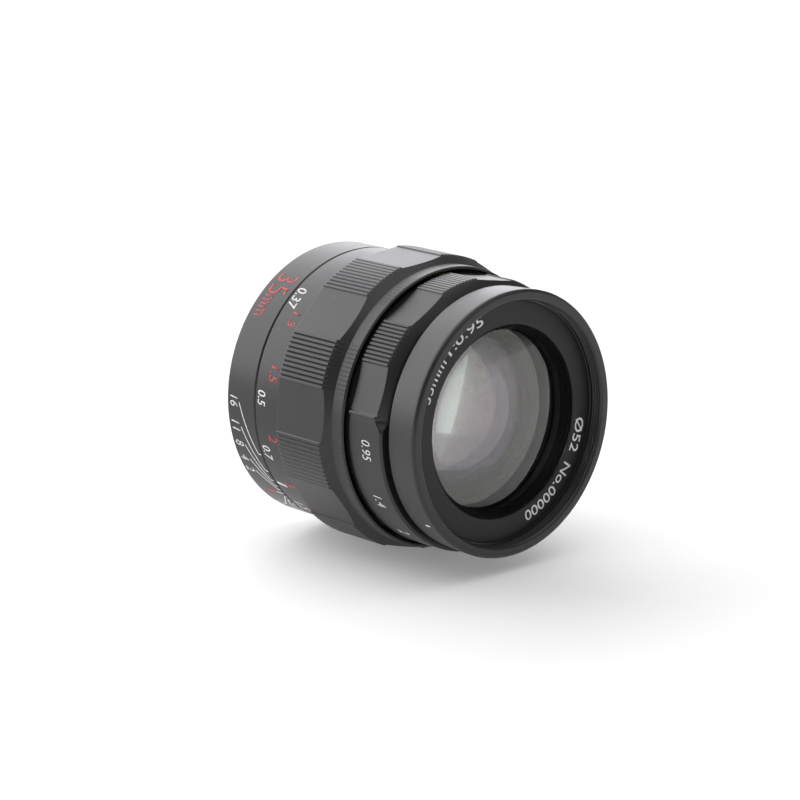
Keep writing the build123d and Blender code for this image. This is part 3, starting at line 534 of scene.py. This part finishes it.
def gripFront(radius):
    station = 9.2 + (radius - 26.6) / 2.35 * 1.9
    return [(26.6, 9.2), ((26.6 + radius) / 2, (9.2 + station) / 2), (radius, station)]


def plainFront(angle):
    look = apertureRing
    inside = min(angle - look["plainStart"], look["plainEnd"] - angle) - look["ridgeHalf"]
    share = min(1.0, inside / look["cornerWidth"])
    share = share * share * (3 - 2 * share)
    length = 0.5 + (look["cornerLength"] - 0.5) * (1 - share)
    low, high = look["cornerRadius"] + (28.2 - look["cornerRadius"]) * share, look["plainRadius"]
    return [(low, 9.2), ((low + high) / 2, 9.2 + length / 2), (high, 9.2 + length)]


def buildApertureRing():
    look, columns = apertureRing, []
    start, end, half = look["plainStart"], look["plainEnd"], look["ridgeHalf"]
    radii = flatRadii(end - 360, look["lobes"][0] - 10, look["root"])
    radii = [(angle, radius) for angle, radius in radii if angle > end - 360 + half]
    for centre in look["lobes"]:
        radii += lobeRadii(centre, look["crest"], look["root"])
        if centre != look["lobes"][-1]:
            radii += flatRadii(centre + 10, centre + 30, look["root"])
    last = flatRadii(look["lobes"][-1] + 10, start, look["root"])
    radii += [(angle, radius) for angle, radius in last if angle < start - half - 0.1]
    radii.append((start - half - 0.05, last[-2][1]))
    for angle in (start - half, start + half):
        radii.append((angle, look["crest"]))
    for angle, radius in radii:
        columns.append((angle, apertureOutline(radius, gripFront(radius))))
    angle = start + half + 0.05
    while angle < end - half - 0.02:
        columns.append((angle, apertureOutline(look["plainRadius"], plainFront(angle))))
        inside = min(angle - start, end - angle) - half
        angle += 0.2 if inside < look["cornerWidth"] else 0.8
    for angle in (end - half, end + half):
        columns.append((angle, apertureOutline(look["crest"], gripFront(look["crest"]))))
    return ringPiece("apertureRing", columns, "black_anodised", "aperture_ring", "aperture_ring")


buildFocusRing()
buildApertureRing()
print("knurled rings done")

# curve radii in mm, positive when the centre lies behind; clear radii end a steep surface in a flat rim
glassElements = {
    "element_01": {"front": 80, "rear": 190, "radius": 19.4, "coating": "clear"},
    "element_02": {"front": 27, "rear": 62, "radius": 16.6, "coating": "violet"},
    "element_03": {"front": 30, "rear": 120, "radius": 14.2, "coating": "amber"},
    "element_04": {"front": 120, "rear": 17.5, "radius": 14.2, "rearClear": 11.8, "coating": "blue"},
    "element_05": {"front": -18, "rear": 90, "radius": 12.2, "frontClear": 9.8, "coating": "green"},
    "element_06": {"front": 90, "rear": -27, "radius": 12.2, "coating": "green"},
    "element_07": {"front": 80, "rear": -40, "radius": 12.0, "coating": "violet"},
    "element_08": {"front": 34, "rear": -60, "radius": 11.8, "coating": "blue"},
    "element_09": {"front": -60, "rear": 28, "radius": 11.8, "coating": "amber"},
    "element_10": {"front": 30, "rear": -200, "radius": 11.0, "coating": "green"},
    "element_11": {"front": -45, "rear": 0, "radius": 10.8, "coating": "violet"},
}
glassSteps = {"round": 128, "out": 28}


def sag(curve, radius):
    if curve == 0:
        return 0.0
    rise = abs(curve) - math.sqrt(curve * curve - radius * radius)
    return math.copysign(rise, curve)


def buildElement(node, look):
    frontClear, rearClear = look.get("frontClear", look["radius"]), look.get("rearClear", look["radius"])
    frontVertex = frontOf(node) - min(0.0, sag(look["front"], frontClear))
    rearVertex = rearOf(node) - max(0.0, sag(look["rear"], rearClear))
    outline = []
    for step in range(glassSteps["out"] + 1):
        radius = frontClear * step / glassSteps["out"]
        outline.append((radius, frontVertex + sag(look["front"], radius)))
    rim = look["radius"]
    ends = ((frontClear, look["front"], frontVertex), (rearClear, look["rear"], rearVertex))
    for clear, curve, vertex in ends:
        outline.append((rim - 0.0001 * (clear == rim), vertex + sag(curve, clear)))
    for step in range(glassSteps["out"], -1, -1):
        radius = rearClear * step / glassSteps["out"]
        outline.append((radius, rearVertex + sag(look["rear"], radius)))
    around, rows, faces = glassSteps["round"], len(outline) - 2, []
    points = [(0, alongAxis(outline[0][1]), 0), (0, alongAxis(outline[-1][1]), 0)]
    for turn in range(around):
        angle = 2 * math.pi * turn / around
        for radius, station in outline[1:-1]:
            across, up = radius * mm * math.cos(angle), radius * mm * math.sin(angle)
            points.append((across, alongAxis(station), up))
    for turn in range(around):
        here, following = 2 + turn * rows, 2 + (turn + 1) % around * rows
        faces.append((0, here, following))
        faces.append((1, following + rows - 1, here + rows - 1))
        for k in range(rows - 1):
            faces.append((here + k, here + k + 1, following + k + 1, following + k))
    name = node.replace("element_", "glassElement")
    piece = meshPiece(name, points, faces, coatedGlass[look["coating"]])
    shape = bmesh.new()
    shape.from_mesh(piece.data)
    bmesh.ops.remove_doubles(shape, verts=shape.verts, dist=0.001 * mm)
    shape.to_mesh(piece.data)
    shape.free()
    piece.data.set_sharp_from_angle(angle=math.radians(40))
    # the ground edge is painted black
    piece.data.materials.append(finishes["flocked_black"])
    for face in piece.data.polygons:
        out = math.hypot(face.center.x, face.center.z) / mm
        clear = frontClear if face.normal.y < 0 else rearClear
        if abs(face.normal.y) < 0.2 or out > clear:
            face.material_index = 1
    glassPieces.objects.link(piece)
    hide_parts(node)
    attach(piece, bodyOf(node))
    return piece


def bodyOf(node):
    return frame["nodes"][node].parent.name.removeprefix("body:")


for node, look in glassElements.items():
    buildElement(node, look)
print("glass done:", len(glassElements), "elements")


letterLook = {"strip": 0.4, "proud": 0.022, "sunk": 0.03}  # all in mm


# Flat outlines of some lettering.
def flatLetters(text, slant, weight):
    curve = bpy.data.curves.new(text, "FONT")
    curve.body = text
    curve.size = 1.0
    curve.shear = slant
    curve.offset = weight
    curve.resolution_u = 4
    source = bpy.data.objects.new(text, curve)
    bpy.context.collection.objects.link(source)
    bpy.context.view_layer.update()
    ready = source.evaluated_get(bpy.context.evaluated_depsgraph_get())
    mesh = bpy.data.meshes.new_from_object(ready)
    bpy.data.objects.remove(source)
    shape = bmesh.new()
    shape.from_mesh(mesh)
    bmesh.ops.remove_doubles(shape, verts=shape.verts, dist=0.0005)
    bpy.data.meshes.remove(mesh)
    return shape


# Fits the lettering into a width and height, cuts it into strips so that it bends smoothly,
# thickens it and lays it on the lens with bend(u, v, lift).
def letteringPiece(name, text, width, height, bend, material, body, slant=0.0, weight=0.0):
    shape = flatLetters(text, slant, weight)
    low = Vector((min(v.co.x for v in shape.verts), min(v.co.y for v in shape.verts)))
    high = Vector((max(v.co.x for v in shape.verts), max(v.co.y for v in shape.verts)))
    tall = height / (high.y - low.y)
    wide = width / (high.x - low.x) if width else tall
    for vert in shape.verts:
        vert.co.x = (vert.co.x - (low.x + high.x) / 2) * wide
        vert.co.y = (vert.co.y - low.y) * tall
    half = (high.x - low.x) / 2 * wide
    cut = -half + letterLook["strip"]
    while cut < half:
        everything = shape.verts[:] + shape.edges[:] + shape.faces[:]
        bmesh.ops.bisect_plane(shape, geom=everything, plane_co=(cut, 0, 0), plane_no=(1, 0, 0))
        cut += letterLook["strip"]
    solid = bmesh.ops.extrude_face_region(shape, geom=shape.faces[:])
    for item in solid["geom"]:
        if isinstance(item, bmesh.types.BMVert):
            item.co.z = 1.0
    for vert in shape.verts:
        lift = letterLook["proud"] if vert.co.z > 0.5 else -letterLook["sunk"]
        vert.co = bend(vert.co.x, vert.co.y, lift)
    bmesh.ops.recalc_face_normals(shape, faces=shape.faces)
    mesh = bpy.data.meshes.new(name)
    shape.to_mesh(mesh)
    shape.free()
    mesh.materials.append(material)
    piece = bpy.data.objects.new(name, mesh)
    bpy.context.collection.objects.link(piece)
    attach(piece, body)
    return piece


# Round the side: reading goes with rising angle, tops towards the front.
def onSide(radius, angle, baseline):
    def bend(u, v, lift):
        turn = math.radians(angle) + u / radius
        out = (radius + lift) * mm
        return Vector((out * math.cos(turn), alongAxis(baseline - v), out * math.sin(turn)))
    return bend


# On the front face: reading goes with falling angle, tops outward.
def onFace(radius, angle, station):
    def bend(u, v, lift):
        turn = math.radians(angle) - u / radius
        out = (radius + v) * mm
        return Vector((out * math.cos(turn), alongAxis(station - lift), out * math.sin(turn)))
    return bend


def sideLabels(prefix, rows, radius, body, material, slant, weight):
    for number, (text, start, end, front, rear) in enumerate(rows, start=1):
        width = math.radians(end - start) * radius
        bend = onSide(radius, (start + end) / 2, rear)
        name = f"{prefix}{number:02d}"
        letteringPiece(name, text, width, rear - front, bend, material, body, slant, weight)


# text, first and last angle, front and rear station
apertureFigures = [
    ("0.95", 181.6, 190.2, 12.5, 15.0), ("1.4", 207.2, 213.2, 12.5, 15.0), ("2", 229.4, 232.4, 12.3, 15.2),
    ("2.8", 243.6, 250.2, 12.3, 15.2), ("4", 258.0, 261.2, 12.3, 15.2), ("5.6", 266.6, 273.0, 12.3, 15.2),
    ("8", 277.4, 280.4, 12.3, 15.2), ("11", 284.0, 288.6, 12.3, 15.2), ("16", 291.6, 296.6, 12.3, 15.2),
]
metreFigures = [
    ("0.37", 126.5, 137.0, 43.4, 46.2), ("0.5", 172.2, 178.4, 43.6, 46.0), ("0.7", 195.6, 202.2, 43.6, 46.0),
    ("1", 214.2, 216.6, 43.4, 46.2), ("1.5", 227.6, 234.2, 43.4, 46.2), ("3", 240.2, 243.0, 43.4, 46.2),
    ("m", 259.5, 264.0, 44.0, 46.2),
]
feetFigures = [
    ("1.3", 138.0, 144.5, 40.6, 43.1), ("1.5", 161.5, 168.0, 40.6, 43.1), ("2", 190.0, 193.0, 40.6, 43.1),
    ("3", 212.8, 215.8, 40.6, 43.1), ("5", 229.4, 232.4, 40.6, 43.1), ("10", 239.2, 244.0, 40.6, 43.1),
    ("ft", 259.5, 263.5, 40.6, 43.1),
]
index = 223.0
# each figure and its degrees from the index
depthFigures = [("16", 43.4), ("11", 33.0), ("8", 25.0), ("4", 18.0), ("2", 12.0)]
depthTicks = {"16": 22.0, "11": 13.6, "8": 8.4, "4": 5.0, "2": 2.6}

sideLabels("apertureFigure", apertureFigures, 28.6, "aperture_ring", whiteFill, 0.12, -0.005)
sideLabels("metreFigure", metreFigures, 29.8, "focus_ring", whiteFill, 0.15, 0.01)
sideLabels("feetFigure", feetFigures, 29.8, "focus_ring", redFill, 0.15, 0.002)
depthRows = []
for text, away in depthFigures:
    half = 2.2 if len(text) == 2 else 1.3
    for side in (-1, 1):
        depthRows.append((text, index + side * away - half, index + side * away + half, 52.5, 54.9))
sideLabels("depthFigure", depthRows, 29.8, "fixed_barrel", whiteFill, 0.15, -0.005)
sideLabels("focalFigure", [("35", 121.5, 132.3, 48.7, 54.3)], 29.8, "fixed_barrel", redFill, 0.0, -0.011)
sideLabels("focalUnit", [("mm", 133.2, 143.2, 51.5, 54.2)], 29.8, "fixed_barrel", redFill, 0.0, -0.011)

faceLabels = [
    ("Ø52", 343.2, 21.2, 2.45, 7.0), ("No.00000", 306.7, 21.2, 2.3, 15.0), ("35mm", 149.0, 22.2, 2.2, 9.2),
    ("1:0.95", 119.5, 22.2, 2.2, 10.6),
]
for number, (text, angle, radius, height, width) in enumerate(faceLabels, start=1):
    bend = onFace(radius, angle, 3.0)
    letteringPiece(f"faceText{number:02d}", text, width, height, bend, whiteFill, "front_group", 0.0, 0.006)


# A painted line through (angle, station) points on a cylinder, as a thin closed ribbon.
def strokePiece(name, path, radius, width, material, body):
    dense = []
    for (angle0, station0), (angle1, station1) in zip(path, path[1:]):
        steps = max(1, int(max(abs(angle1 - angle0) / 0.8, abs(station1 - station0) / 0.5)))
        dense += [
            (angle0 + (angle1 - angle0) * t / steps, station0 + (station1 - station0) * t / steps)
            for t in range(steps)
        ]
    dense.append(path[-1])
    flat = [Vector((math.radians(angle) * radius, station)) for angle, station in dense]
    points, faces = [], []
    for i, here in enumerate(flat):
        along = (flat[min(i + 1, len(flat) - 1)] - flat[max(i - 1, 0)]).normalized()
        across = Vector((-along.y, along.x)) * width / 2
        for side, lift in ((1, 0.022), (-1, 0.022), (-1, -0.03), (1, -0.03)):
            spot = here + across * side
            turn, out = spot.x / radius, (radius + lift) * mm
            points.append((out * math.cos(turn), alongAxis(spot.y), out * math.sin(turn)))
    for i in range(len(flat) - 1):
        for k in range(4):
            faces.append((4 * i + k, 4 * i + (k + 1) % 4, 4 * i + 4 + (k + 1) % 4, 4 * i + 4 + k))
    faces += [(0, 1, 2, 3), tuple(4 * len(flat) - 4 + k for k in (3, 2, 1, 0))]
    piece = meshPiece(name, points, faces, material)
    piece.data.set_sharp_from_angle(angle=math.radians(40))
    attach(piece, body)
    return piece


for text, away in depthFigures:
    for side, mark in ((-1, "a"), (1, "b")):
        tick = index + side * depthTicks[text]
        path = [(index + side * away, 52.0), (tick + side * 0.5, 48.3), (tick, 48.2), (tick, 47.35)]
        strokePiece(f"depthLine{text}{mark}", path, 29.8, 0.26, whiteFill, "fixed_barrel")
strokePiece("focusIndex", [(index, 52.2), (index, 50.0)], 29.8, 0.9, redFill, "fixed_barrel")
strokePiece("focusIndexLine", [(index, 49.6), (index, 47.35)], 29.8, 0.3, whiteFill, "fixed_barrel")
strokePiece("apertureIndex", [(219.5, 1.9), (219.5, 3.5)], 27.92, 0.45, whiteFill, "front_group")
infinity = [
    (252.0 + 2.6 * math.sin(turn) / (1 + math.cos(turn) ** 2),
     44.6 + 1.7 * math.sin(turn) * math.cos(turn) / (1 + math.cos(turn) ** 2) * 1.6)
    for turn in (2 * math.pi * step / 40 for step in range(41))
]
strokePiece("infinityMark", infinity, 29.8, 0.42, whiteFill, "focus_ring")
print("lettering done")

for node, item in frame["nodes"].items():
    if slotOf.get(node) in finishes and not item.hide_render:
        item.data.materials.clear()
        item.data.materials.append(finishes[slotOf[node]])

studio = {
    "floorSize": 14.0,
    "floorColour": (0.84, 0.84, 0.84),
    "floorGlow": 0.2,  # an even glow of the paper, which lightens the shadow
    "skyBehind": (3.15, 3.15, 3.21),
    "skyFront": (0.26, 0.26, 0.264),
    "skyTop": (1.2, 1.2, 1.21),
    "topBand": (0.66, 0.86),
    "skyLow": (0.95, 0.95, 0.955),
    "lowBand": (-0.02, 0.08),
}


def buildFloor():
    half, low = studio["floorSize"] / 2, cadBox[0].z
    points = [(-half, -half, low), (half, -half, low), (half, half, low), (-half, half, low)]
    floorPaint = Finish(bpy.data.materials.new("floorPaper"))
    place = floorPaint.placeInMm()
    cloud = floorPaint.noise(place, 0.01)
    colour = studio["floorColour"]
    shader = {
        "Base Color": floorPaint.tint(cloud, colour, tuple(level * 1.02 for level in colour)),
        "Roughness": cloud * 0.1 + 0.75,
        "Normal": floorPaint.bump(floorPaint.noise(place, 0.6) * 0.01),
        "Specular IOR Level": 0.2,
        "Emission Color": (1.0, 1.0, 1.0, 1.0),
        "Emission Strength": studio["floorGlow"],
    }
    paper = floorPaint.surface(floorPaint.add("BsdfPrincipled", None, shader))
    meshPiece("floor", points, [(0, 1, 2, 3)], paper)


# Bright behind the lens, dim in front of it, with a soft light overhead.
def buildSky():
    world = bpy.data.worlds.new("studio")
    bpy.context.scene.world = world
    sky = Finish(world)
    direction = sky.add("TexCoord")
    depth, height = (sky.add("SeparateXYZ", None, {0: direction}, output=axis) for axis in (1, 2))
    colour = sky.tint(sky.between(depth, 0.42, 0.62), studio["skyFront"], studio["skyBehind"])
    colour = sky.tint(sky.between(height, *studio["topBand"]), colour, studio["skyTop"])
    low = sky.between(height, *studio["lowBand"]) - sky.between(depth, 0.42, 0.62)
    nearFloor = (1 - low.clamped()) * (1 - sky.between(height, *studio["lowBand"]))
    colour = sky.tint(nearFloor, colour, studio["skyLow"])
    sky.add("OutputWorld", None, {"Surface": sky.add("Background", None, {"Color": colour, "Strength": 1.0})})


# azimuth and elevation as seen from the lens, distance and size in metres, brightness as radiance
softBoxes = {
    "glassBox": {"azimuth": -80, "elevation": 30, "away": 1.1, "size": (0.9, 0.6), "radiance": 110},
    "lowGlassBox": {"azimuth": -112, "elevation": 12, "away": 1.1, "size": (0.5, 0.3), "radiance": 80},
}


def towards(azimuth, elevation):
    turn, lift = math.radians(azimuth), math.radians(elevation)
    return Vector((math.sin(turn) * math.cos(lift), -math.cos(turn) * math.cos(lift), math.sin(lift)))


def buildSoftBox(name, look):
    light = bpy.data.lights.new(name, "AREA")
    light.shape = "RECTANGLE"
    light.size, light.size_y = look["size"]
    light.energy = look["radiance"] * math.pi * look["size"][0] * look["size"][1]
    box = bpy.data.objects.new(name, light)
    bpy.context.collection.objects.link(box)
    outward = towards(look["azimuth"], look["elevation"])
    box.location = Vector((0, frontFace, 0)) + outward * look["away"]
    box.rotation_euler = outward.to_track_quat("Z", "Y").to_euler()
    box.visible_camera = False
    box.light_linking.receiver_collection = glassPieces


# where the rim's centre stands from the camera, in mm
cameraLook = {"azimuth": -42.6, "elevation": 14.2, "lens": 135, "right": 23.4, "below": 5.1, "ahead": 611.9}


def buildCamera():
    look = cameraLook
    back = towards(look["azimuth"], look["elevation"])
    turn = math.radians(look["azimuth"])
    right = Vector((math.cos(turn), math.sin(turn), 0))
    up = back.cross(right)
    data = bpy.data.cameras.new("camera")
    data.lens = look["lens"]
    data.sensor_width = 36
    data.clip_end = 60
    camera = bpy.data.objects.new("camera", data)
    bpy.context.collection.objects.link(camera)
    offset = back * look["ahead"] - right * look["right"] + up * look["below"]
    place = Vector((0, frontFace, 0)) + offset * mm
    axes = Matrix((right, up, back)).transposed().to_4x4()
    camera.matrix_world = Matrix.Translation(place) @ axes
    bpy.context.scene.camera = camera


buildFloor()
buildSky()
for name, look in softBoxes.items():
    buildSoftBox(name, look)
buildCamera()
bpy.context.scene.view_settings.view_transform = "Standard"
print("studio done")
